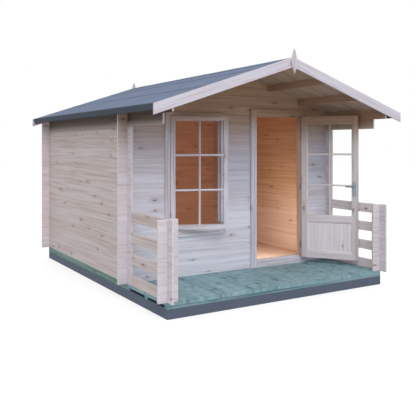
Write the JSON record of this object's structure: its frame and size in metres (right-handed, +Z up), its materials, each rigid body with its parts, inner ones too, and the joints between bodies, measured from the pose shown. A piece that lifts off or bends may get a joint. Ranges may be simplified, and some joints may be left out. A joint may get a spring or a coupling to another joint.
{
  "type": "garden log cabin",
  "caption": "Timber log cabin with interlocking corner logs, a roofed veranda with log rails, a half-glazed door that swings open and a side-hung window standing ajar.",
  "frame": {"origin": "middle of the footprint on the ground", "axes": "+Z up, front with the door and veranda towards -Y, +X to the right seen from the front"},
  "size_m": [3.3042, 4.0842, 2.6927],
  "materials": {
    "log_spruce": "planed untreated spruce logs with knots",
    "planed_spruce": "planed pale spruce joinery",
    "roof_spruce": "tongued spruce roof boards",
    "floor_spruce": "tongued spruce floor boards",
    "treated_pine": "green pressure-treated pine",
    "plinth": "slate grey painted timber",
    "roofing_felt": "mineral-faced bitumen felt",
    "felted_fascia": "board wrapped in dark roofing felt",
    "glass": "clear float glass",
    "hinge_iron": "dark zinc-plated steel hinges",
    "handle_steel": "satin steel lever furniture"
  },
  "bodies": {
    "cabin": {"side_plinths": "plinth", "end_plinths": "plinth", "wall_bearers": "treated_pine", "floor_joists": "treated_pine", "cabin_floor": "floor_spruce", "deck_bearers": "treated_pine", "veranda_deck": "treated_pine", "left_wall": "log_spruce", "right_wall": "log_spruce", "left_post": "log_spruce", "right_post": "log_spruce", "back_wall": "log_spruce", "back_gable": "log_spruce", "front_wall_left": "log_spruce", "front_wall_below_window": "log_spruce", "front_wall_middle": "log_spruce", "front_wall_right": "log_spruce", "front_gable": "log_spruce", "purlins": "log_spruce", "left_roof_boards": "roof_spruce", "right_roof_boards": "roof_spruce", "left_roof_felt": "roofing_felt", "right_roof_felt": "roofing_felt", "eave_fascias": "felted_fascia", "front_bargeboards": "planed_spruce", "back_bargeboards": "planed_spruce", "finials": "planed_spruce", "door_jambs": "planed_spruce", "door_head": "planed_spruce", "door_threshold": "planed_spruce", "window_jambs": "planed_spruce", "window_head": "planed_spruce", "window_sill": "planed_spruce", "sash_stiles": "planed_spruce", "sash_rails": "planed_spruce", "window_glass": "glass", "window_hinges": "hinge_iron", "frame_hinge_leaves": "hinge_iron"},
    "door": {"door_stiles": "planed_spruce", "door_rails": "planed_spruce", "door_panel": "planed_spruce", "door_glass": "glass", "door_hinge_leaves": "hinge_iron", "handle_plates": "handle_steel"},
    "lever": {"lever_handle": "handle_steel"}
  },
  "joints": [
    {"name": "door_swing", "type": "hinge", "parent": "cabin", "child": "door", "pos_m": [0.995, -0.99156, 1.14], "axis": [0, 0, 1], "range_deg": [-125, 0]},
    {"name": "lever_turn", "type": "hinge", "parent": "door", "child": "lever", "pos_m": [1.35693, -1.55911, 1.1553], "axis": [-0.8192, -0.5736, 0], "range_deg": [0, 35], "stiffness_Nm_per_rad": 1, "springref_deg": -34.38}
  ]
}
